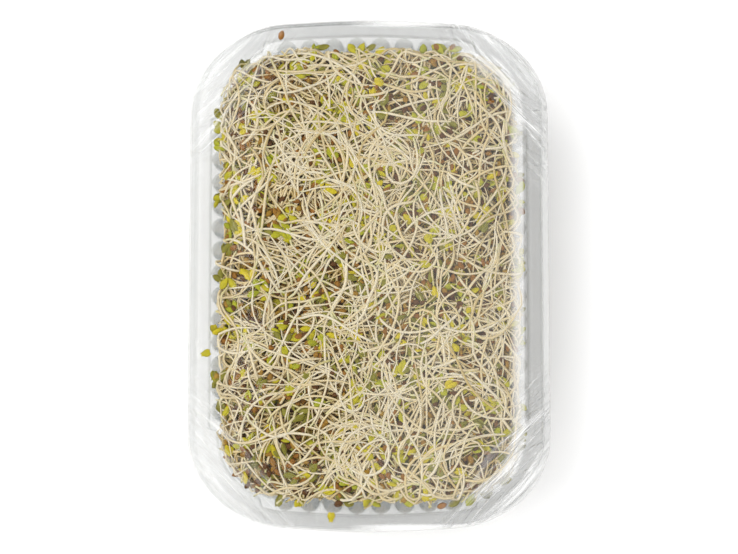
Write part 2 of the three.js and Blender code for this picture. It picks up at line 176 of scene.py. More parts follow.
# Loose sprouts that fill the mat out
TOP_COUNT = 3000
CROWN_COUNT = 270
EDGE_COUNT = 75
WALL_COUNT = 1150
FLOOR_COUNT = 560
LOOSE_SEEDS = 3000
TUFT = 4  # stems that start and run alike
LOWEST_STEM = INSIDE_Z + 0.7
STEM_ROOM = 0.75  # between the wall and the middle of a stem
TOP_REACH = WALL_REACH - 1.5
TOP_DEPTH = 5.4
FINE_POINTS = 16
FINE_SIDES = 5
FINE_SHARE = 0.35
FINE = (0.2, 0.32)  # radius of the fine stems
FULL = (0.41, 0.05)  # mean and spread of the others'
SINKING_SHARE = 0.55  # of the stems go down along the wall where they meet it
HEADED_SHARE = 0.36
WALL_HEADED = 0.25
FLOOR_HEADED = 0.1
HEAD_CLEARANCE = 2.4  # nearer the wall than this, only a share of the stems keep their head
WALL_HEADS = 0.45
COATED_SHARE = 0.22
SHUT = (0.1, 0.25)  # radians between a seed leaf and its stem's line
SPREAD = (0.4, 1.0)

# Length, width and thickness of seed leaves and coats
SOLID_LEAF = ((3.8, 4.4), (2.0, 2.5), 0.8)
HEAD_LEAF = ((3.6, 5.2), (1.9, 2.7), 0.75)
HEAD_COAT = ((2.6, 3.2), (2.0, 2.5), (1.4, 1.8))
LOOSE_COAT = ((2.2, 3.4), (1.5, 2.3), (0.9, 1.7))
BIT_LEAF = (3.5, 2.0, 0.8)
BIT_COAT = (3.2, 2.1, 1.5)

# The core of a bunch, behind its loose sprouts
CORE_SIDES = 72
CORE_Z = 32.5
CORE_DEPTH = 4.6
CORE_LOW = 3.4
CORE_WALL_GAP = 3.2
CORE_REACH = 1.1  # share of the way from the bunch's middle to its corner
CORE_LUMPS = ((1.1, 4.0, 31), (0.5, 1.6, 32))
CORE_DROPS = (1.2, 4, 8, 14, 20, 26, 29)

# Tints, as linear light
CREAM = np.array((0.55, 0.445, 0.25))
WHITE = np.array((0.62, 0.555, 0.42))
STRAW = np.array((0.40, 0.29, 0.10))
STEM_GREEN = np.array((0.42, 0.44, 0.14))
LEAF_LIME = np.array((0.26, 0.27, 0.010))
LEAF_YELLOW = np.array((0.44, 0.35, 0.008))
LEAF_OLIVE = np.array((0.17, 0.155, 0.016))
COAT_BROWN = np.array((0.20, 0.082, 0.010))
COAT_DARK = np.array((0.085, 0.034, 0.006))
COAT_TAN = np.array((0.27, 0.16, 0.018))
# Multipliers of the stem tints by depth: the topmost are painted a little darker where most light falls, and
# the deep ones browner and yellower, partly as older stems and partly as painted shade
TOPMOST_PAINTED_DIM = np.array((0.9, 0.9, 0.88))
DEEP_AGE_AND_SHADE = np.array((1.22, 0.92, 0.13))
# Tints of the core: a yellow-brown that stands as painted shade for the dense inside of the mat, lighter down
# its sides
CORE_SHADE_TINT = np.array((0.62, 0.44, 0.06))
CORE_SIDE_TINT = np.array((0.60, 0.49, 0.24))

# Light and camera
WORLD_LIGHT = 0.32
LAMPS = (("left", 165, 17.2), ("right", -15, 6.1), ("back", 80, 4.3), ("front", -100, 8.2))  # turn and power
LAMP_RISE = 45
LAMP_SIZE = 1300
LAMP_AWAY = 1200
FLOOR_HALF = 3000.0
EYE_AWAY = 550.0
EYE_TILT = math.radians(5.0)
EYE_TARGET = (0, -1.4, RIM_Z)
PIXELS_PER_MM = 3.225
PICTURE_WIDTH = 738


def mix(a, b, t):
    return a + (b - a) * t


def smooth(t):
    u = np.clip(t, 0.0, 1.0)
    return u * u * (3 - 2 * u)


def xyz(x, y, z):
    return np.stack(np.broadcast_arrays(x, y, z), axis=-1)


def unit(v):
    return v / np.maximum(np.linalg.norm(v, axis=-1, keepdims=True), 1e-9)


class Repeatable:
    """A repeatable draw between 0 and 1, the same as the one that shaped the part's solids."""

    word = 2**32

    def __init__(self, seed):
        self.state = seed

    def __call__(self):
        self.state = (self.state + 0x6D2B79F5) % self.word
        t = (self.state ^ (self.state >> 15)) * (self.state | 1) % self.word
        t ^= (t + (t ^ (t >> 7)) * (t | 61)) % self.word
        return (t ^ (t >> 14)) / self.word


def value_noise(x, y, cell, seed):
    """Smooth noise between -1 and 1 over a plane, with features about cell across."""
    gx, gy = np.floor(x / cell), np.floor(y / cell)
    fx, fy = smooth(x / cell - gx), smooth(y / cell - gy)

    def corner(ix, iy):
        h = np.sin(ix * 127.1 + iy * 311.7 + seed * 74.7) * 43758.5453
        return (h - np.floor(h)) * 2 - 1

    low = mix(corner(gx, gy), corner(gx + 1, gy), fx)
    high = mix(corner(gx, gy + 1), corner(gx + 1, gy + 1), fx)
    return mix(low, high, fy)


def lumps(x, y, layers):
    return sum(height * value_noise(x, y, cell, seed) for height, cell, seed in layers)


# Plan of the tray

ARC = WALL_REACH * math.pi / 2
PERIMETER = 4 * (CORE_X + CORE_Y + ARC)
QUARTER = PERIMETER / 4


def bowed(x, y):
    bow = np.where(np.abs(x) < BOW_SPAN, END_BOW * np.cos(np.pi * x / (2 * BOW_SPAN)) ** 2, 0.0)
    return x, y + np.sign(y) * bow * np.minimum(1.0, np.abs(y) / CORE_Y)


def plan(u, reach, ends=None):
    """The point at a distance round the wall line, anticlockwise from the +X side's middle, at a reach."""
    ends = reach if ends is None else ends
    u = np.mod(u, PERIMETER)
    turn = np.floor(u / QUARTER)
    v = u - turn * QUARTER
    v = np.where(np.mod(turn, 2) == 1, QUARTER - v, v)
    angle = np.clip((v - CORE_Y) / WALL_REACH, 0, np.pi / 2)
    x = CORE_X - np.maximum(0.0, v - CORE_Y - ARC) + reach * np.cos(angle)
    y = np.minimum(v, CORE_Y) + ends * np.sin(angle)
    sx = np.where((turn == 0) | (turn == 3), 1.0, -1.0)
    sy = np.where(turn < 2, 1.0, -1.0)
    return bowed(sx * x, sy * y)


def side_place(u):
    """At a distance round the wall line: whether a long side is nearer, and how far off its middle is."""
    v = np.mod(u, 2 * QUARTER)
    to_side = np.minimum(v, 2 * QUARTER - v)
    long_side = to_side < CORE_Y + ARC / 2
    return long_side, np.where(long_side, to_side, np.abs(v - QUARTER))


def ledge_share(u):
    long_side, away = side_place(u)
    side, end = (1 - smooth((away - whole) / (gone - whole)) for whole, gone in (SIDE_LEDGE, END_LEDGE))
    return np.where(long_side, side, end)


def core_distance(x, y):
    """Signed distance from the core rectangle, and the outward direction there."""
    qx, qy = np.abs(x) - CORE_X, np.abs(y) - CORE_Y
    ox, oy = np.maximum(qx, 0), np.maximum(qy, 0)
    outside = np.hypot(ox, oy)
    distance = outside + np.minimum(np.maximum(qx, qy), 0)
    safe = np.maximum(outside, 1e-9)
    nx = np.where(outside > 0, ox / safe, qx > qy) * np.sign(x)
    ny = np.where(outside > 0, oy / safe, qx <= qy) * np.sign(y)
    return distance, nx, ny


def wall_reach(z):
    """Reach of the pocket's wall at a height."""
    rise = (z - INSIDE_Z) / (FOOT_Z - INSIDE_Z)
    heel = mix(FLOOR_REACH, FOOT_REACH, np.sqrt(np.clip(rise, 0, 1)))
    wall = mix(FOOT_REACH, WALL_REACH, (z - FOOT_Z) / (LEDGE_Z - FOOT_Z))
    return np.minimum(np.where(z > FOOT_Z, wall, heel), WALL_REACH)


def wave(x, y):
    """The mat's ups and downs at a place."""
    return WAVE * np.sin(x / WAVE_LENGTH_X) * np.cos(y / WAVE_LENGTH_Y)


def film_rise(x, y):
    """Rise of the film over its level on the rim."""
    return FILM_CROWN * smooth((WALL_REACH - core_distance(x, y)[0]) / (WALL_REACH - FILM_CROWN_REACH))


def mat_top(x, y):
    """Highest the mat reaches at a place."""
    return RIM_Z + GAP + film_rise(x, y) - 0.45


# Meshes

def linked(name, data):
    """A new object in the scene."""
    thing = bpy.data.objects.new(name, data)
    bpy.context.scene.collection.objects.link(thing)
    return thing


def build(name, verts, faces, materials, colours=(1, 1, 1), slots=0):
    """A smooth mesh object from millimetre points and faces, all with the same number of corners."""
    verts = np.asarray(verts, dtype=np.float32) * MM
    faces = np.asarray(faces, dtype=np.int32)
    mesh = bpy.data.meshes.new(name)
    mesh.vertices.add(len(verts))
    mesh.vertices.foreach_set("co", verts.ravel())
    mesh.loops.add(faces.size)
    mesh.loops.foreach_set("vertex_index", faces.ravel())
    mesh.polygons.add(len(faces))
    mesh.polygons.foreach_set("loop_start", np.arange(0, faces.size, faces.shape[1], dtype=np.int32))
    mesh.polygons.foreach_set("use_smooth", np.full(len(faces), True))
    for material in materials:
        mesh.materials.append(material)
    mesh.polygons.foreach_set("material_index", np.full(len(faces), slots, dtype=np.int32))
    layer = mesh.color_attributes.new("tint", "FLOAT_COLOR", "POINT")
    rgba = np.ones((len(verts), 4), dtype=np.float32)
    rgba[:, :3] = colours
    layer.data.foreach_set("color", rgba.ravel())
    mesh.update(calc_edges=True)
    mesh.validate()
    return linked(name, mesh)


def closed_faces(number, count):
    """Triangles of a closed body: rings of count points from the top down, then the two ends' middles."""
    i = np.arange(count)
    j = (i + 1) % count
    a = np.arange(number - 1)[:, None] * count
    b = a + count
    last = (number - 1) * count
    middle = np.full(count, number * count)
    one = np.stack([a + i, b + i, b + j], axis=-1).reshape(-1, 3)
    two = np.stack([a + i, b + j, a + j], axis=-1).reshape(-1, 3)
    return np.concatenate([one, two, xyz(middle, i, j), xyz(middle + 1, last + j, last + i)])


def capped(rings):
    """Points and triangles of a closed body through rings that run down its outside, from the top one."""
    rings = np.asarray(rings, dtype=float)
    points = np.vstack([rings.reshape(-1, 3), rings[0].mean(axis=0), rings[-1].mean(axis=0)])
    return points, closed_faces(*rings.shape[:2])


# Materials

def fresh(name):
    """An empty node material, with its tree and its output node."""
    material = bpy.data.materials.new(name)
    material.use_nodes = True
    tree = material.node_tree
    tree.nodes.clear()
    return material, tree, tree.nodes.new("ShaderNodeOutputMaterial")


def feed(tree, socket, value):
    """Links a socket to another node's output, or sets it to a plain value."""
    if isinstance(value, bpy.types.NodeSocket):
        tree.links.new(value, socket)
    else:
        socket.default_value = value


def add(tree, kind, *first, **values):
    """A node with its first sockets fed in order, and its others and its properties by name."""
    node = tree.nodes.new("ShaderNode" + kind)
    for key, value in values.items():
        socket = node.inputs.get(key.replace("_", " "))
        if socket is None:
            setattr(node, key, value)
        else:
            feed(tree, socket, value)
    for socket, value in zip(node.inputs, first):
        feed(tree, socket, value)
    return node


def ranged(tree, value, low, high, to_low, to_high, **kind):
    """A value's range taken over to another range."""
    values = {"From_Min": low, "From_Max": high, "To_Min": to_low, "To_Max": to_high}
    return add(tree, "MapRange", value, **values, **kind).outputs["Result"]


def times(tree, a, b):
    return add(tree, "Math", a, b, operation="MULTIPLY").outputs[0]


def plus(tree, a, b):
    return add(tree, "Math", a, b, operation="ADD").outputs[0]


def tint_of(tree):
    return add(tree, "VertexColor", layer_name="tint").outputs["Color"]


def living(name, roughness, subsurface, grain, depth, shine):
    """A moist plant surface: its own tint, blotched and streaked by noise."""
    material, tree, out = fresh(name)
    place = add(tree, "NewGeometry").outputs["Position"]
    blotch = add(tree, "TexNoise", Vector=place, Scale=grain, Detail=3.0, Roughness=0.6).outputs["Fac"]
    bright = ranged(tree, blotch, 0.3, 0.7, 1.0 - depth, 1.0 + depth * 0.5)
    colour = add(tree, "VectorMath", tint_of(tree), operation="SCALE", Scale=bright)
    bump = add(tree, "Bump", Strength=0.25, Distance=0.1 * MM, Height=blotch)
    skin = add(
        tree,
        "BsdfPrincipled",
        Base_Color=colour.outputs["Vector"],
        Roughness=roughness,
        Specular_IOR_Level=shine,
        Subsurface_Weight=subsurface,
        Subsurface_Radius=(0.6 * MM, 0.5 * MM, 0.3 * MM),
        Subsurface_Scale=1.0,
        Normal=bump.outputs["Normal"],
    )
    feed(tree, out.inputs["Surface"], skin.outputs[0])
    return material


def ridges(tree, place, turn, across, along, width):
    """Thin creases where noise passes through its middle. Its cells have a size across and along them."""
    scale = (across * MM, along * MM, along * MM)
    turn = (0.0, 0.0, math.radians(turn))
    lay = add(tree, "Mapping", place, vector_type="TEXTURE", Rotation=turn, Scale=scale).outputs["Vector"]
    noise = add(tree, "TexNoise", lay, Scale=1.0, Detail=1.0, Roughness=0.5, Distortion=0.4)
    away = add(tree, "Math", noise.outputs["Fac"], 0.5, operation="SUBTRACT").outputs[0]
    size = add(tree, "Math", away, operation="ABSOLUTE").outputs[0]
    return ranged(tree, size, 0.0, width, 1.0, 0.0, interpolation_type="SMOOTHSTEP")


def crossed_ridges(tree, place, shares, across, along, width):
    """Creases of both slants, each as strong as its share says."""
    one, other = (ridges(tree, place, turn, across, along, width) for turn in (45, -45))
    return plus(tree, times(tree, one, shares[0]), times(tree, other, shares[1]))


def clear(name, tint, edge_tint, ior, gloss, roughness, milk, creased):
    """A thin clear plastic: it tints what is behind it, more where it is seen edge on, and mirrors by slope.

    On a plain one, the tint attribute darkens it with painted shade. On a creased one, its red and green say
    how strongly the creases of each slant show at a point, and its blue how milky it is there, with painted
    highlights in it.
    """
    material, tree, out = fresh(name)
    geometry = add(tree, "NewGeometry")
    place = geometry.outputs["Position"]
    slope = add(tree, "LayerWeight", Blend=0.35)
    mixed = add(tree, "Mix", slope.outputs["Facing"], data_type="RGBA")
    for socket, colour in zip((s for s in mixed.inputs if s.type == "RGBA"), (tint, edge_tint)):
        socket.default_value = (*colour, 1)
    colour = next(s for s in mixed.outputs if s.type == "RGBA")
    # A plain one's tint attribute holds painted shade, which darkens what is seen through it
    if not creased:
        colour = add(tree, "VectorMath", colour, tint_of(tree), operation="MULTIPLY").outputs["Vector"]
    through = add(tree, "BsdfTransparent", Color=colour)
    cloud = add(tree, "TexNoise", place, Scale=45.0, Detail=4.0, Roughness=0.6)
    milky = ranged(tree, cloud.outputs["Fac"], 0.35, 0.75, *milk)
    haze = add(tree, "BsdfDiffuse", Color=(0.95, 0.95, 0.94, 1))
    mirror = add(tree, "BsdfGlossy", Roughness=roughness)
    if creased:
        shares = add(tree, "SeparateColor", tint_of(tree)).outputs
        fine = crossed_ridges(tree, place, shares, 1.2, 40.0, 0.02)
        wide = crossed_ridges(tree, place, shares, 4.5, 45.0, 0.06)
        bump = add(tree, "Bump", Strength=1.0, Distance=0.35 * MM, Height=plus(tree, fine, wide))
        feed(tree, mirror.inputs["Normal"], bump.outputs["Normal"])
        feed(tree, haze.inputs["Normal"], bump.outputs["Normal"])
        # The crease lines are whitened, partly as the film's own whitening at folds and partly as painted
        # highlight
        for more in (shares[2], times(tree, fine, 0.5), times(tree, wide, 0.12)):
            milky = plus(tree, milky, more)
    hazy = add(tree, "MixShader", milky, through.outputs[0], haze.outputs[0])
    # The node turns its index over on a surface seen from inside, which would make a thin sheet a mirror
    index = ranged(tree, geometry.outputs["Backfacing"], 0.0, 1.0, ior, 1 / ior)
    glossy = times(tree, add(tree, "Fresnel", IOR=index).outputs["Fac"], gloss)
    both = add(tree, "MixShader", glossy, hazy.outputs[0], mirror.outputs[0])
    feed(tree, out.inputs["Surface"], both.outputs[0])
    return material


STEM = living("stem", roughness=0.38, subsurface=0.25, grain=900.0, depth=0.12, shine=0.3)
LEAF = living("cotyledon", roughness=0.45, subsurface=0.2, grain=700.0, depth=0.2, shine=0.15)
COAT = living("seed_coat", roughness=0.5, subsurface=0.0, grain=1500.0, depth=0.35, shine=0.12)
CORE = living("mat_core", roughness=0.7, subsurface=0.0, grain=500.0, depth=0.35, shine=0.08)
TRAY = clear("clear_tray", (0.915, 0.92, 0.92), (0.66, 0.675, 0.67), 1.5, 0.5, 0.05, (0.0, 0.01), False)
FILM_SKIN = clear("stretch_film", [0.999] * 3, [0.985] * 3, 1.4, 0.4, 0.08, (0.0, 0.004), True)


# Tray

def tray_stations():
    """For each point round the tray: its flute's place or its own, its angle, and 1 in a flute."""
    flutes, plain = [], []
    for middle, number, pitch, (whole, gone) in (
        (0, SIDE_FLUTES, SIDE_PITCH, SIDE_LEDGE),
        (QUARTER, END_FLUTES, END_PITCH, END_LEDGE),
    ):
        for half in (0, 2 * QUARTER):
            flutes += [middle + half + (i - (number - 1) / 2) * pitch for i in range(number)]
            for side in (-1, 1):
                plain += [middle + half + side * mix(whole, gone, t) for t in np.linspace(0, 1, 6)]
    for corner in range(4):
        low = corner * QUARTER + (CORE_Y if corner % 2 == 0 else CORE_X)
        plain += list(low + ARC * np.linspace(0.03, 0.97, 15))
    keys = [(u, u, 0.0, 0.0) for u in plain if all(gap_round(u, f) > FLUTE_ROOM for f in flutes)]
    for f in flutes:
        for a in np.linspace(-np.pi / 2, np.pi / 2, FLUTE_POINTS):
            keys.append((f + FLUTE_TOP_RADIUS * math.sin(a), f, a, 1.0))
    keys = np.array(keys)
    order = np.argsort(np.mod(keys[:, 0], PERIMETER))
    return keys[order, 1:].T


def gap_round(a, b):
    return abs((a - b + PERIMETER / 2) % PERIMETER - PERIMETER / 2)


def painted_flange_shade(points):
    """Painted shade on the flange at each point of the tray, as a darkening of its tint: most at the ends,
    not at all on the left.
    """
    distance, nx, ny = core_distance(points[:, 0], points[:, 1])
    share = smooth(distance - STEP_REACH) * (points[:, 2] > LEDGE_Z)
    shade = END_PAINTED_SHADE * ny**2 + RIGHT_PAINTED_SHADE * np.maximum(nx, 0) ** 2
    return np.repeat((1 - share * shade)[:, None], 3, axis=1)


def tray_piece():
    middle, angle, fluted = tray_stations()

    def ring(reach, z, ledge=0.0, flute=0.0, ends=None):
        """One ring, with flutes of a depth. The ledge widens it where the tray has one."""
        u = middle + fluted * np.sin(angle) * FLUTE_TOP_RADIUS
        share = ledge_share(u) * ledge
        x, y = plan(u, reach + share + fluted * np.cos(angle) * flute, None if ends is None else ends + share)
        return xyz(x, y, float(z))

    def wall(z, skin=0.0):
        """One ring of the fluted wall, moved out by a skin."""
        along = (z - FOOT_Z) / (LEDGE_Z - FOOT_Z)
        share = float(smooth((z - FLUTE_LOW_Z) / FLUTE_RISE))
        radius = mix(FLUTE_FOOT_RADIUS, FLUTE_TOP_RADIUS, along) * share
        u = middle + fluted * np.sin(angle) * (radius + skin if radius > 0.05 else FLUTE_TOP_RADIUS)
        out = np.maximum(fluted * np.cos(angle) * (radius + skin), skin)
        return xyz(*plan(u, mix(FOOT_REACH, WALL_REACH, along) + out), float(z))

    def rings(start, steps, **more):
        return [ring(start + out, z, **more) for out, z in steps]

    deep, full = {"ledge": LEDGE_WIDTH}, {"flute": FLUTE_TOP_RADIUS}
    heel = ((FLOOR_REACH, 0.05), (HEEL_REACH - 0.7, HEEL_RISE / 2), (HEEL_REACH, HEEL_RISE))
    step = ((-0.2, LEDGE_Z), (-0.05, LEDGE_Z + 0.06), (0, LEDGE_Z + 0.25))
    lip = ((0.12, RIM_Z - 0.45), (0.25, RIM_Z - 0.12), (0.55, RIM_Z))
    under = ((0.4, RIM_Z - WALL), (0, RIM_Z - 0.9), (0, LEDGE_Z - WALL + 0.15), (-0.15, LEDGE_Z - WALL))
    inside = [ring(FLOOR_REACH * t, INSIDE_Z) for t in (0.1, 0.6, 0.9)]
    inside += [ring(reach, INSIDE_Z + rise) for reach, rise in heel]
    inside += [wall(z) for z in (*reversed(WALL_HEIGHTS), LEDGE_Z - 0.25)]
    inside += rings(WALL_REACH, ((0.02, LEDGE_Z - 0.1), (0.12, LEDGE_Z)), **full)
    inside += rings(STEP_REACH, step + lip, **deep)
    inside += rings(FLANGE_REACH, ((-0.9, RIM_Z), (-0.3, RIM_Z - 0.12), (0.05, RIM_Z - 0.5)))
    inside += [
        ring(SKIRT_SIDE_REACH - 0.1, SKIRT_Z + 0.1, ends=SKIRT_END_REACH - 0.02),
        ring(SKIRT_SIDE_REACH, SKIRT_Z, ends=SKIRT_END_REACH),
    ]
    outside = [ring(SKIRT_SIDE_REACH - WALL, SKIRT_Z, ends=SKIRT_END_REACH - WALL)]
    outside += rings(FLANGE_REACH, ((-WALL, RIM_Z - 0.9), (-0.9, RIM_Z - WALL)))
    outside += rings(STEP_REACH + WALL, under, **deep)
    outside += [wall(z, WALL) for z in (LEDGE_Z - WALL, *WALL_HEIGHTS)]
    outside += [ring(HEEL_REACH + WALL, FLOOR_Z + HEEL_RISE), ring(FLOOR_REACH + WALL, FLOOR_Z + 0.1)]
    outside += [ring(FLOOR_REACH * t, FLOOR_Z) for t in (0.95, 0.6, 0.1)]
    points, faces = capped(inside + outside)
    # The tray's tint attribute carries painted shade on the flange
    piece = build("tray_shell", points, faces[:, ::-1], [TRAY], painted_flange_shade(points))
    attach(piece, "root")
    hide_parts("tray")


# Film

def film_height(x, y):
    """Height of the film over the tray: flat on the rim, crowned and rumpled over the mat, with tents."""
    over_mat = smooth((WALL_REACH + 1 - core_distance(x, y)[0]) / 6)
    z = RIM_Z + GAP + film_rise(x, y) + over_mat * (lumps(x, y, RUMPLES) - 0.15)
    for _, kind, bx, by, _ in RIM_BITS:
        away = np.hypot(x - bx, y - by)
        z = np.maximum(z, RIM_Z + GAP + TENT_HEIGHT[kind] * (1 - smooth((away - TENT_TOP) / TENT_SLOPE)))
    return z


def to_the_right(x):
    return smooth(x / 20 + 0.5)


def by_corner(strengths, x, y):
    """A strength that goes smoothly from each corner's value to the next one's."""
    low, high = (mix(left, right, to_the_right(x)) for left, right in strengths)
    return mix(low, high, smooth(y / 20 + 0.5))


def arc_creases(x, y):
    """How much of a crease that runs round a corner, straighter than it, passes through each point."""
    qx, qy = np.maximum(np.abs(x) - CORE_X, 0), np.maximum(np.abs(y) - CORE_Y, 0)
    out = (np.hypot(qx, qy) + (qx + qy) / math.sqrt(2)) / 2 + 0.35 * value_noise(x, y, 7.0, 41)
    lines = sum(np.clip(1 - np.abs(out - reach) / ARC_WIDTH, 0, 1) for reach in ARCS)
    aside = np.abs(np.arctan2(qy, qx) - math.pi / 4)
    faint = 0.55 + 0.45 * value_noise(x, y, 11.0, 43)
    return lines * faint * (1 - smooth((aside - 0.3) / 0.45))


def film_shares(points):
    """How creased in each slant, and how milky, the film is at each of its points. The milk holds painted
    highlights too: along the outer edge on the right, and in part on the creases round the corners.
    """
    x, y, z = points.T
    distance = core_distance(x, y)[0]
    near_corner = smooth((np.abs(x) / 56 + np.abs(y) / 80 - 1.28) / 0.16)
    edge = EDGE_CREASES * smooth((distance - WALL_REACH - 2) / 2)
    creased = np.maximum(near_corner * by_corner(CORNER_CREASES, x, y), edge)
    creased = creased * mix(0.45, 1.0, smooth((z - SKIRT_Z) / 3))
    falls = (x * y > 0).astype(float)
    over_ledge = smooth((distance - WALL_REACH + 3.2) / 3.4) * (1 - smooth(distance - STEP_REACH - 0.9))
    milky = MAT_HAZE * smooth((x + 12) / 30)
    # Painted highlight along the outer edge on the right
    milky = milky + SKIRT_HIGHLIGHT * smooth((distance - FLANGE_REACH + 0.4) / 1.2) * to_the_right(x)
    milky = milky + LEDGE_HAZE * over_ledge * smooth((x - 30) / 12)
    # Partly painted highlight on the creases round the corners
    milky = milky + ARC_HAZE_AND_HIGHLIGHT * arc_creases(x, y) * by_corner(CORNER_ARCS, x, y)
    return xyz(creased * falls, creased * (1 - falls), milky * (z > SKIRT_Z))


def film_piece():
    u = np.linspace(0, PERIMETER, FILM_POINTS, endpoint=False)
    x, y = plan(u, FLANGE_REACH)
    inwards = np.concatenate([np.linspace(0.02, 0.78, 30), np.linspace(0.8, 1.0, 50)])
    top = [xyz(x * t, y * t, film_height(x * t, y * t)) for t in inwards]
    folds = lumps(u, 0 * u, ((1.0, 5.0, 11), (0.5, 2.1, 12)))
    long_side, away = side_place(u)
    corner = smooth((away - np.where(long_side, 40, 18)) / 12)
    skirt = (SKIRT_SIDE_REACH + GAP + FILM, SKIRT_END_REACH + GAP + FILM)

    def band(reaches, z, depth=0.0):
        """One ring, at a reach for the sides and one for the ends, and folded inwards by up to a depth."""
        pull = -depth * (0.35 + 0.65 * corner) * np.abs(folds)
        return xyz(*plan(u, *(reach + pull for reach in reaches)), float(z))

    side = []
    for t in (0.15, 0.5, 0.85, 1.0):
        side.append(band([mix(FLANGE_REACH + FILM, s, t) for s in skirt], mix(RIM_Z + 0.1, SKIRT_Z, t)))
    for t in np.linspace(0, 1, 14)[1:]:
        reaches = [mix(s, FILM_FOOT_REACH + FILM, t) for s in skirt]
        side.append(band(reaches, mix(SKIRT_Z, FILM_FOOT_Z, t), FOLD_DEPTH * smooth(t * 3)))
    for reach, z in ((17.7, 0.75), (16.6, 0.25), (FILM_BASE_REACH, SHEET_Z)):
        side.append(band([reach + FILM] * 2, z))
    lap = []
    for t in (0.2, 0.45, 0.7, 1.0):
        reach = mix(FILM_BASE_REACH, FILM_LAP_REACH, t) + LAP_RAGGED * t * np.maximum(folds, -0.2)
        lap.append(xyz(*plan(u, np.maximum(reach, 0.4)), SHEET_Z))
    face = np.array(top + side + lap)
    half = sheet_normals(face) * SHEET * 0.5
    outer, inner = face + half, face - half
    outer[..., 2] = np.maximum(outer[..., 2], 0.0)
    flat = slice(-len(lap) - 1, None)
    inner[flat, :, 2] = SHEET
    outer[flat, :, 2] = np.minimum(outer[flat, :, 2], 0.005)
    points, faces = capped(np.concatenate([outer, inner[::-1]]))
    piece = build("film_sheet", points, faces, [FILM_SKIN], film_shares(points))
    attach(piece, "root")
    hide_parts("film")


def sheet_normals(face):
    """Outward normals of a sheet given as rings of points, the first ring on top."""
    return unit(np.cross(np.gradient(face, axis=0), np.roll(face, -1, axis=1) - np.roll(face, 1, axis=1)))


# Sprouts

def tubes(paths, radii, sides):
    """Points of round bars along paths (n, k, 3) with radii (n, k), and the triangles of one of them."""
    n, k, _ = paths.shape
    tangent = unit(np.gradient(paths, axis=1))
    normal = np.empty_like(paths)
    current = unit(np.cross(tangent[:, 0], (0.31, 0.17, 0.94)))
    for i in range(k):
        t = tangent[:, i]
        current = unit(current - (current * t).sum(-1, keepdims=True) * t)
        normal[:, i] = current
    binormal = np.cross(tangent, normal)
    angle = np.linspace(0, 2 * np.pi, sides, endpoint=False)
    ring = normal[:, :, None] * np.cos(angle)[:, None] + binormal[:, :, None] * np.sin(angle)[:, None]
    body = paths[:, :, None] + ring * radii[:, :, None, None]
    ends = [paths[:, 0] - tangent[:, 0] * radii[:, :1], paths[:, -1] + tangent[:, -1] * radii[:, -1:]]
    points = np.concatenate([body.reshape(n, -1, 3), np.stack(ends, 1)], axis=1)
    return points, closed_faces(k, sides)[:, ::-1]


def stem_radii(n, k, thickness):
    """Radius along each stem: fine at the root's tip, full in the middle and a little thinner at the head."""
    t = np.linspace(0, 1, k)
    profile = mix(0.38, 1.0, smooth(t / 0.45)) * mix(1.0, 0.82, smooth((t - 0.8) / 0.2))
    return thickness[:, None] * profile[None]


def lens_template(along, sides, bend, lean, full):
    """A leaf or seed of unit length along +X, width along Y and thickness along Z, as points and triangles.

    It is widest past its middle where lean is over 1, and blunter where full is smaller.
    """
    angle = np.linspace(0, 2 * np.pi, sides, endpoint=False)
    rings = []
    for s in along:
        wide = 0.5 * math.sin(math.pi * s**lean) ** full
        y = wide * np.cos(angle)
        z = wide * np.sin(angle) + bend * (4 * (s - 0.5) ** 2 - 1) - bend * 1.2 * (2 * y) ** 2
        rings.append(xyz(s, y, z))
    points = np.vstack([*rings, (0, 0, 0), (1, 0, 0)])
    return points, closed_faces(len(along), sides)[:, ::-1]


LEAF_SHAPE = lens_template((0.05, 0.16, 0.32, 0.5, 0.68, 0.84, 0.95), 8, 0.12, 1.35, 0.75)
SEED_SHAPE = lens_template((0.07, 0.26, 0.52, 0.78, 0.94), 7, 0.05, 0.95, 0.62)


def placed(shape, base, along, up, size):
    """Copies of a shape: base, along and up (n, 3), and size (n, 3) as length, width and thickness."""
    along = unit(along)
    side = unit(np.cross(up, along))
    up = np.cross(along, side)
    points = base[:, None]
    for i, axis in enumerate((along, side, up)):
        points = points + shape[0][None, :, i, None] * size[:, None, i, None] * axis[:, None]
    return points


class Heap:
    """Collects the points, triangles, tints and materials of one bunch."""

    def __init__(self):
        self.points, self.faces, self.tints, self.slots, self.count = [], [], [], [], 0

    def put(self, points, faces, tints, slot):
        self.points.append(points.reshape(-1, 3))
        self.faces.append(faces + self.count)
        self.tints.append(np.broadcast_to(tints, points.shape).reshape(-1, 3))
        self.slots.append(np.full(len(faces), slot))
        self.count += len(self.points[-1])

    def put_all(self, shapes, faces, tints, slot):
        """Adds like shapes: points (n, p, 3), and the triangles of one of them."""
        number, size = shapes.shape[:2]
        firsts = np.arange(number)[:, None, None] * size
        self.put(shapes, (faces + firsts).reshape(-1, 3), tints, slot)

    def piece(self, name):
        points, faces, tints, slots = map(np.concatenate, (self.points, self.faces, self.tints, self.slots))
        return build(name, points, faces, [STEM, LEAF, COAT, CORE], tints, slots)


def share_out(heaps, places, shapes, faces, tints, slot):
    """Adds each of many like shapes to the bunch that holds its place."""
    column, row = np.clip((places[:, :2] + MAT) // BUNCH_SIZE, 0, (COLUMNS - 1, ROWS - 1)).T
    for number, heap in enumerate(heaps):
        mine = row * COLUMNS + column == number
        if mine.any():
            heap.put_all(shapes[mine], faces, tints[mine], slot)


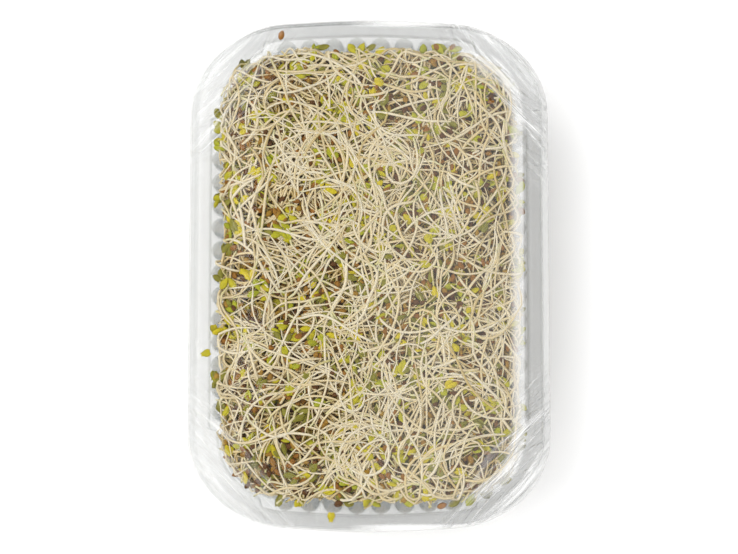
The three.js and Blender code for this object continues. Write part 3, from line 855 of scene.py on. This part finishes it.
def kept_inside(points):
    """Copies of a shape, each moved to lie over the floor, under the film and inside the wall."""
    upwards = np.array((0, 0, 1))
    points = points + np.maximum(INSIDE_Z + 0.1 - points[..., 2].min(axis=1), 0)[:, None, None] * upwards
    roof = mat_top(points[..., 0], points[..., 1]) + 0.2
    points = points - np.maximum((points[..., 2] - roof).max(axis=1), 0)[:, None, None] * upwards
    for _ in range(2):
        distance, nx, ny = core_distance(points[..., 0], points[..., 1])
        free = points[..., 2] > LEDGE_Z + 0.3
        room = wall_reach(points[..., 2]) + np.where(free, LEDGE_WIDTH, -0.15)
        over = np.maximum(distance - room, 0)
        worst = over.argmax(axis=1)[:, None]
        points = points - xyz(*(np.take_along_axis(a * over, worst, axis=1) for a in (nx, ny)), 0.0)
    return points


def walk(rng, x, y, heading, bend, length, depth):
    """Paths that wind through the mat at a depth under its top, turning along the wall where they meet it."""
    n = len(x)
    step = length / (FINE_POINTS - 1)
    swing = rng.normal(0, 0.075, n)
    phase = rng.uniform(0, 2 * np.pi, n)
    pace = rng.uniform(3.0, 11.0, n)
    hook = rng.choice([-1, 1], n) * rng.uniform(0.0, 0.3, n)
    paths = []
    dive = rng.gamma(1.5, 1.6, n)
    lift = rng.uniform(-1.0, 2.2, n)
    tail = rng.normal(0, 1.2, n)
    sinks = rng.random(n) < SINKING_SHARE
    sunk = np.zeros(n)
    for t in np.linspace(0, 1, FINE_POINTS):
        z = mat_top(x, y) - depth - dive * (1 - smooth(t / 0.3)) + lift * math.sin(math.pi * t)
        z = z + tail * smooth((t - 0.7) / 0.3) + wave(x, y)
        z = np.maximum(np.minimum(z, mat_top(x, y)) - sunk, LOWEST_STEM)
        over_ledge = 1.1 + 1.3 * value_noise(x, y, 3.5, 21)
        room = wall_reach(z) - STEM_ROOM + over_ledge * smooth((z - LEDGE_Z - 0.5) / 0.8)
        distance, nx, ny = core_distance(x, y)
        over = np.maximum(distance - room, 0)
        sunk = sunk + np.where(sinks, over, 0)
        x, y = x - nx * over, y - ny * over
        paths.append(xyz(x, y, z))
        near = np.where(sinks, 0.0, smooth((4.0 - (room - distance)) / 4.0))
        inward = np.arctan2(-ny, -nx) - heading
        inward = np.arctan2(np.sin(inward), np.cos(inward))
        turn = np.where(np.cos(inward) < 0.25, np.clip(inward, -0.7, 0.7), 0) * near
        curve = bend + swing * np.sin(phase + pace * t) + hook * smooth((t - 0.8) / 0.15)
        heading = heading + curve * step + turn
        x = x + step * np.cos(heading)
        y = y + step * np.sin(heading)
    return np.stack(paths, axis=1)


def inside_points(rng, n, reach):
    """Places spread evenly over the plan of the mat."""
    x = rng.uniform(-CORE_X - reach, CORE_X + reach, 3 * n)
    y = rng.uniform(-CORE_Y - reach, CORE_Y + reach, 3 * n)
    good = core_distance(x, y)[0] < reach
    return x[good][:n], y[good][:n]


def tufts(rng, n, reach, lengths, jitter):
    """Starts of n stems, alike within each tuft: place, heading, bend and length."""
    groups = -(-n // TUFT)
    gx, gy = inside_points(rng, groups, reach)
    pick = np.repeat(np.arange(groups), TUFT)[:n]
    x = gx[pick] + rng.normal(0, jitter, n)
    y = gy[pick] + rng.normal(0, jitter, n)
    heading = rng.uniform(0, 2 * np.pi, groups)[pick] + rng.normal(0, 0.35, n)
    bend = (rng.choice([-1, 1], groups) * rng.gamma(2.0, 0.022, groups))[pick] + rng.normal(0, 0.012, n)
    length = rng.uniform(*lengths, groups)[pick] * rng.uniform(0.8, 1.15, n)
    return x, y, heading, bend, length


def top_paths(rng):
    starts = tufts(rng, TOP_COUNT, TOP_REACH, (14, 42), 2.2)
    return walk(rng, *starts, TOP_DEPTH * rng.random(TOP_COUNT) ** 1.25)


def crown_paths(rng):
    """Stems that end just under the film."""
    paths = walk(rng, *tufts(rng, CROWN_COUNT, TOP_REACH, (14, 34), 9.0), 1.2)
    t = np.linspace(0, 1, FINE_POINTS)
    level = mat_top(paths[..., 0], paths[..., 1]) - rng.uniform(0.0, 1.0, (CROWN_COUNT, 1))
    paths[..., 2] = mix(paths[..., 2], level, smooth((t - 0.5) / 0.4))
    return paths


def edge_paths(rng):
    """Short stems that lean out of the mat over the ledge."""
    n = (EDGE_COUNT, 1)
    u = rng.uniform(0, PERIMETER, n)
    start, end = rng.uniform(8, 14, n), rng.uniform(WALL_REACH - 0.5, WALL_REACH + 1.6, n)
    slant = rng.normal(0, 7, n)
    bulge = rng.normal(0, 2.0, n)
    rise = rng.uniform(-1.6, -0.3, n)
    t = np.linspace(0, 1, FINE_POINTS)[None]
    x, y = plan(u + slant * t + bulge * np.sin(np.pi * t), mix(start, end, t))
    return xyz(x, y, mat_top(x, y) + rise - 4.0 * (1 - smooth(t / 0.5)))


def floor_paths(rng):
    """Stems that lie on the floor or a little over it."""
    paths = walk(rng, *tufts(rng, FLOOR_COUNT, FLOOR_REACH, (22, 42), 2.2), 4.0)
    x, y, z = np.moveaxis(paths, -1, 0)
    rise = np.clip((mat_top(x, y) - z) * 0.5 - 1.0, 0, 4.5)
    shrink = (FLOOR_REACH - 1.0 + CORE_X) / (WALL_REACH + CORE_X)
    return xyz(x * shrink, y * shrink, INSIDE_Z + 0.5 + rise)


def wall_paths(rng):
    """Stems that run along the inside of the wall."""
    n, k = WALL_COUNT, FINE_POINTS
    u = rng.uniform(0, PERIMETER, n)
    z = rng.uniform(2.5, 36.0, n)
    step = rng.uniform(20, 42, n) / (k - 1)
    heading = rng.uniform(0, 2 * np.pi, n)
    bend = rng.choice([-1, 1], n) * rng.gamma(2.0, 0.035, n)
    wobble = rng.normal(0, 0.05, (n, k))
    depth = 3.6 * rng.random(n) ** 1.3
    sway = rng.uniform(0.0, 1.6, n)
    phase = rng.uniform(0, 6.28, n)
    paths = []
    for i in range(k):
        level = np.clip(z, INSIDE_Z + 0.6, 36.6)
        reach = wall_reach(level) - STEM_ROOM - depth - sway * (0.5 + 0.5 * np.sin(phase + 3.0 * i / k))
        paths.append(xyz(*plan(u, reach), level))
        heading = heading + (bend + wobble[:, i]) * step
        blocked = ((z > 34.5) & (np.sin(heading) > 0)) | ((z < 3.5) & (np.sin(heading) < 0))
        heading = np.where(blocked, -heading, heading)
        u = u + step * np.cos(heading)
        z = z + step * np.sin(heading)
    return np.stack(paths, axis=1)


class Cell:
    """The room of one bunch in the part's solids."""

    def __init__(self, column, row):
        start = BUNCH_SIZE * (column, row) - MAT
        self.low = start + BUNCH_GAP / 2
        self.high = start + BUNCH_SIZE - BUNCH_GAP / 2
        self.middle = start + BUNCH_SIZE / 2
        self.corner = math.hypot(*BUNCH_SIZE) / 2

    def held(self, x, y, z, margin):
        """The point, moved into the bunch's room by at least a margin."""
        z = float(np.clip(z, INSIDE_Z + GAP + margin, MAT_TOP - margin))
        room = float(wall_reach(z)) - WALL_GAP - margin
        place = np.clip((x, y), self.low + margin, self.high - margin)
        over = np.maximum(np.abs(place) - (CORE_X, CORE_Y), 0)
        shrink = min(1.0, room / max(room, math.hypot(*over)))
        return np.array((*(place - np.sign(place) * over * (1 - shrink)), z))

    def on_circle(self, angle, share=1.0):
        """A place round the bunch's middle, at a share of the way to its corners."""
        return self.middle + self.corner * share * np.array((math.cos(angle), math.sin(angle)))


def solid_bunch(column, row):
    """The sprouts that the part's solids have in a bunch: stem lines, and the base and way of each leaf."""
    cell = Cell(column, row)
    draw = Repeatable(SEED + column * ROWS + row)
    core_top = mix(CORE_LOW_TOP, CORE_HIGH_TOP, draw())
    for _ in range(CORE_DRAWS):
        draw()
    stems, leaves = [], []
    for i in range(TOP_SPROUTS):
        level = mix(core_top + LOWEST_RISE, MAT_TOP - STEM_RADIUS - WAVE, i / (TOP_SPROUTS - 1))
        stems.append(solid_top_path(cell, core_top, level, draw))
        leaves += solid_leaves(stems[-1], cell, draw)
    stems += [solid_side_path(cell, draw) for _ in range(SIDE_SPROUTS)]
    return stems, leaves


def heading_of(way):
    return math.atan2(way[1], way[0])


def solid_top_path(cell, core_top, level, draw):
    step = mix(SHORTEST, LONGEST, draw()) / PATH_POINTS
    half = (cell.high - cell.low) / 2
    place = cell.middle + half * [mix(-START_SPREAD, START_SPREAD, draw()) for _ in range(2)]
    heading = 2 * math.pi * draw()
    sign = -1 if draw() < 0.5 else 1
    bend = sign * mix(SLOWEST_BEND, FASTEST_BEND, draw())
    points = []
    for i in range(PATH_POINTS + 1):
        rise = float(smooth(i / PATH_POINTS / RISING_SHARE))
        z = mix(core_top - ROOT_DEPTH, level, rise) + rise * float(wave(*place))
        points.append(cell.held(*place, z, STEM_RADIUS))
        away = np.max(np.abs(place - cell.middle) / half)
        home = heading_of(cell.middle - place) - heading
        turn = math.atan2(math.sin(home), math.cos(home))
        pull = float(smooth((away - TURN_BACK_FROM) / (1 - TURN_BACK_FROM)))
        heading += mix(bend * step, min(SHARPEST_TURN, max(-SHARPEST_TURN, turn)), pull)
        place = place + step * np.array((math.cos(heading), math.sin(heading)))
        if draw() < BEND_FLIP_CHANCE:
            bend = -bend
    return np.array(points)


def solid_leaves(points, cell, draw):
    tip = points[-1]
    base = cell.held(*tip, LEAF_WIDTH / 2)
    middle = heading_of(tip - points[-2])

    def way_to(angle):
        reach = base + LEAF_LENGTH * np.array((math.cos(angle), math.sin(angle), 0))
        return cell.held(*reach, LEAF_WIDTH / 2) - base

    if np.linalg.norm(way_to(middle)) <= LEAF_LENGTH * LEAF_ROOM:
        middle = heading_of(cell.middle - tip[:2])
    return [(base, unit(way_to(middle + side * mix(*LEAF_TURN, draw())))) for side in (-1, 1)]


def solid_side_path(cell, draw):
    start = 2 * math.pi * draw()
    size = mix(*SIDE_TURN, draw())
    swing = size * (-1 if draw() < 0.5 else 1)
    low = mix(*SIDE_START_Z, draw())
    lift = mix(*SIDE_CLIMB, draw())
    points = []
    for i in range(PATH_POINTS + 1):
        t = i / PATH_POINTS
        point = cell.held(*cell.on_circle(start + swing * t), low + lift * t, STEM_RADIUS + SIDE_CLEARANCE)
        depth = SIDE_ROOT_PULL * (1 - float(smooth(t / SIDE_ROOT_SHARE)))
        point[:2] = mix(point[:2], cell.middle, depth)
        points.append(point)
    return np.array(points)


def resampled(points, k):
    """k points along a smooth curve through the given ones."""
    n = len(points)
    s = np.linspace(0, n - 1, k)
    i = np.clip(np.floor(s).astype(int), 0, n - 2)
    t = (s - i)[:, None]
    p0, p1 = points[np.maximum(i - 1, 0)], points[i]
    p2, p3 = points[i + 1], points[np.minimum(i + 2, n - 1)]
    cubic = (2 * p0 - 5 * p1 + 4 * p2 - p3) * t**2 + (3 * p1 - p0 - 3 * p2 + p3) * t**3
    return 0.5 * (2 * p1 + (p2 - p0) * t + cubic)


def stem_tints(rng, n, k):
    """A tint for each ring of each stem: cream to white, straw in some, a little green towards the head."""
    is_straw = rng.random((n, 1, 1)) < 0.08
    base = mix(CREAM, WHITE, rng.random((n, 1, 1)))
    base = np.where(is_straw, mix(base, STRAW, 0.6), base)
    t = np.linspace(0, 1, k)[None, :, None]
    base = mix(base, mix(base, STEM_GREEN, 0.5), smooth((t - 0.85) / 0.15))
    return mix(base, STRAW, 0.3 * (1 - smooth(t / 0.12)))


def leaf_tints(rng, n):
    is_olive = rng.random((n, 1, 1)) < 0.25
    return np.where(is_olive, LEAF_OLIVE, mix(LEAF_LIME, LEAF_YELLOW, rng.random((n, 1, 1))))


def coat_tints(rng, n):
    is_dark = rng.random((n, 1, 1)) < 0.35
    return np.where(is_dark, COAT_DARK, mix(COAT_BROWN, COAT_TAN, rng.random((n, 1, 1)) ** 2))


def shade_by_depth(tints, paths):
    """Stems deep in the mat are tinted browner and yellower, partly as older stems and partly as painted
    shade, less so near its sides and its floor where light reaches them; the topmost are painted a little
    darker.
    """
    x, y, z = np.moveaxis(paths, -1, 0)
    from_wall = (wall_reach(z) - 1.0 - core_distance(x, y)[0]) * 1.5
    from_floor = (z - FLOOR_Z - WALL) * 0.5
    inside = np.maximum(np.minimum(from_wall, from_floor), 1.5)
    depth = np.clip(mat_top(x, y) - z, 0, inside)
    return tints * mix(TOPMOST_PAINTED_DIM, DEEP_AGE_AND_SHADE, smooth(depth[..., None] / CORE_DEPTH))


def put_stems(heaps, rng, paths):
    n, k, _ = paths.shape
    fine = rng.random(n) < FINE_SHARE
    thickness = np.where(fine, rng.uniform(*FINE, n), rng.normal(*FULL, n)).clip(0.2, 0.55)
    points, faces = tubes(paths, stem_radii(n, k, thickness), FINE_SIDES)
    # Painted shade and age by depth in the mat
    tints = shade_by_depth(stem_tints(rng, n, k), paths)
    tints = np.concatenate([np.repeat(tints, FINE_SIDES, axis=1), tints[:, [0, -1]]], axis=1)
    share_out(heaps, paths[:, k // 2], points, faces, tints, 0)


def leaning(rng, n, by):
    return xyz(rng.normal(0, by, n), rng.normal(0, by, n), 1.0)


def drawn(rng, n, measures):
    """Sizes of n leaves or coats. A measure is a range, or one number for all of them."""
    return xyz(*(rng.uniform(*m, n) if isinstance(m, tuple) else m for m in measures))


def put_lenses(heaps, shape, base, along, up, size, tints, slot):
    share_out(heaps, base, kept_inside(placed(shape, base, along, up, size)), shape[1], tints, slot)


def put_heads(heaps, rng, paths):
    """A pair of seed leaves at the end of each path, shut on half of them. Some keep their coat."""
    tip = paths[:, -1]
    by_wall = wall_reach(tip[:, 2]) - core_distance(tip[:, 0], tip[:, 1])[0] < HEAD_CLEARANCE
    paths = paths[~by_wall | (rng.random(len(paths)) < WALL_HEADS)]
    n = len(paths)
    tip = paths[:, -1]
    ahead = unit(tip - paths[:, -3])
    up = leaning(rng, n, 0.5)
    side = unit(np.cross(up, ahead))
    spread = np.where(rng.random(n) < 0.5, rng.uniform(*SHUT, n), rng.uniform(*SPREAD, n))
    size = drawn(rng, n, HEAD_LEAF)
    tints = leaf_tints(rng, n)
    for way in (-1, 1):
        along = ahead * np.cos(spread)[:, None] + way * side * np.sin(spread)[:, None]
        put_lenses(heaps, LEAF_SHAPE, tip - ahead * 0.3, along, up, size, tints, 1)
    coated = rng.random(n) < COATED_SHARE
    base = (tip + ahead * (size[:, :1] * 0.35))[coated]
    n = len(base)
    size = drawn(rng, n, HEAD_COAT)
    put_lenses(heaps, SEED_SHAPE, base, ahead[coated], up[coated], size, coat_tints(rng, n), 2)


def put_seeds(heaps, rng):
    """Empty seed coats that lie loose among the stems."""
    n = LOOSE_SEEDS
    x, y = inside_points(rng, n, TOP_REACH)
    base = xyz(x, y, mat_top(x, y) - 0.6 - 3.6 * rng.random(n) ** 1.6)
    angle = rng.uniform(0, 2 * np.pi, n)
    along = xyz(np.cos(angle), np.sin(angle), rng.normal(0, 0.35, n))
    up = leaning(rng, n, 0.4)
    size = drawn(rng, n, LOOSE_COAT)
    put_lenses(heaps, SEED_SHAPE, base, along, up, size, coat_tints(rng, n), 2)


def put_core(heap, column, row):
    """The dense inside of a bunch, which reaches its neighbours and lies behind the loose sprouts."""
    cell = Cell(column, row)
    levels = [(0, s) for s in np.linspace(0.05, 0.97, 16)] + [(drop, 1.0) for drop in CORE_DROPS]
    rings, tints = [], []
    for drop, share in levels:
        # Painted shade on the core, less of it down its sides
        tints.append(mix(CORE_SHADE_TINT, CORE_SIDE_TINT, min(1.0, drop / 4)))
        ring = []
        for a in np.linspace(0, 2 * np.pi, CORE_SIDES, endpoint=False):
            point = cell.held(*cell.on_circle(a, CORE_REACH), max(CORE_LOW, CORE_Z - drop), -0.5)
            room = float(wall_reach(point[2])) - CORE_WALL_GAP
            distance, nx, ny = core_distance(point[0], point[1])
            point[:2] -= np.array((nx, ny)) * max(0.0, float(distance) - room)
            point[:2] = mix(cell.middle, point[:2], share)
            ring.append(point)
        ring = np.array(ring)
        if drop == 0:
            x, y = ring[:, 0], ring[:, 1]
            ring[:, 2] = mat_top(x, y) - CORE_DEPTH + lumps(x, y, CORE_LUMPS)
        rings.append(ring)
    points, faces = capped(rings)
    heap.put(points, faces, np.vstack([np.repeat(tints, CORE_SIDES, axis=0), tints[0], tints[-1]]), 3)


def sprout_pieces():
    rng = np.random.default_rng(2024)
    heaps = [Heap() for _ in range(COLUMNS * ROWS)]
    stems, leaves = [], []
    for number, heap in enumerate(heaps):
        row, column = divmod(number, COLUMNS)
        lines, ends = solid_bunch(column, row)
        put_core(heap, column, row)
        stems += [resampled(line, FINE_POINTS) for line in lines]
        leaves += ends
    put_stems(heaps, rng, np.array(stems))
    bases, ways = np.swapaxes(leaves, 0, 1)
    n = len(leaves)
    up = rng.normal(0, 0.2, (n, 3)) + (0.0, 0.0, 1.0)
    size = drawn(rng, n, SOLID_LEAF)
    put_lenses(heaps, LEAF_SHAPE, bases, ways, up, size, np.repeat(leaf_tints(rng, n // 2), 2, axis=0), 1)
    groups = (
        (top_paths(rng), HEADED_SHARE),
        (crown_paths(rng), 1.0),
        (edge_paths(rng), 1.0),
        (wall_paths(rng), WALL_HEADED),
        (floor_paths(rng), FLOOR_HEADED),
    )
    for paths, share in groups:
        put_stems(heaps, rng, paths)
        put_heads(heaps, rng, paths[rng.random(len(paths)) < share])
    put_seeds(heaps, rng)
    for number, heap in enumerate(heaps, 1):
        piece = heap.piece(f"mat_{number:02d}")
        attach(piece, "root")
        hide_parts(f"sprouts_{number:02d}")


def loose_bits():
    rng = np.random.default_rng(7)
    for bits, z in ((RIM_BITS, RIM_Z + GAP), (LEDGE_BITS, LEDGE_Z + GAP)):
        for name, kind, x, y, turn in bits:
            if kind == "coat":
                ways, shape, size, slot = [turn], SEED_SHAPE, BIT_COAT, 2
                tint = COAT_BROWN * 1.3
            else:
                ways, shape, size, slot = [turn - BIT_SPREAD, turn + BIT_SPREAD], LEAF_SHAPE, BIT_LEAF, 1
                tint = mix(LEAF_LIME, LEAF_YELLOW, rng.random())
            along = xyz(np.cos(ways), np.sin(ways), 0.0)
            base = np.array((x, y, z + size[2] / 2)) - along * size[0] * 0.42
            heap = Heap()
            up = np.array([(0, 0, 1)])
            heap.put_all(placed(shape, base, along, up, np.array([size])), shape[1], tint, slot)
            piece = heap.piece(name + "_fine")
            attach(piece, "root")
            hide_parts(name)


# Stage

def studio():
    floor_material, tree, out = fresh("floor")
    paint = add(tree, "BsdfDiffuse", Color=(0.92, 0.92, 0.92, 1))
    feed(tree, out.inputs["Surface"], paint.outputs[0])
    corners = [(x * FLOOR_HALF, y * FLOOR_HALF, 0) for x, y in ((-1, -1), (1, -1), (1, 1), (-1, 1))]
    floor = build("floor", corners, [(0, 1, 2, 3)], [floor_material])
    world = bpy.data.worlds.new("studio")
    bpy.context.scene.world = world
    world.use_nodes = True
    background = world.node_tree.nodes["Background"]
    background.inputs["Color"].default_value = (1.0, 1.0, 1.0, 1)
    background.inputs["Strength"].default_value = WORLD_LIGHT
    for name, turn, power in LAMPS:
        light = bpy.data.lights.new(name, "AREA")
        light.shape = "SQUARE"
        light.size = LAMP_SIZE * MM
        light.energy = power
        lamp = linked(name, light)
        a, b = math.radians(turn), math.radians(LAMP_RISE)
        way = Vector((math.cos(a) * math.cos(b), math.sin(a) * math.cos(b), math.sin(b)))
        lamp.location = way * LAMP_AWAY * MM
        lamp.rotation_euler = way.to_track_quat("Z", "Y").to_euler()


def camera():
    """The photo's view, almost straight down."""
    view = bpy.data.cameras.new("view")
    view.sensor_width = 36.0
    view.lens = PIXELS_PER_MM * EYE_AWAY * view.sensor_width / PICTURE_WIDTH
    view.clip_end = 20.0
    eye = linked("view", view)
    towards_eye = Vector((0, -math.sin(EYE_TILT), math.cos(EYE_TILT)))
    eye.location = (Vector(EYE_TARGET) + towards_eye * EYE_AWAY) * MM
    eye.rotation_euler = (EYE_TILT, 0, 0)
    scene = bpy.context.scene
    scene.camera = eye
    scene.view_settings.view_transform = "Standard"
    scene.cycles.transparent_max_bounces = 24
    scene.cycles.max_bounces = 8


camera()
studio()
tray_piece()
film_piece()
sprout_pieces()
loose_bits()
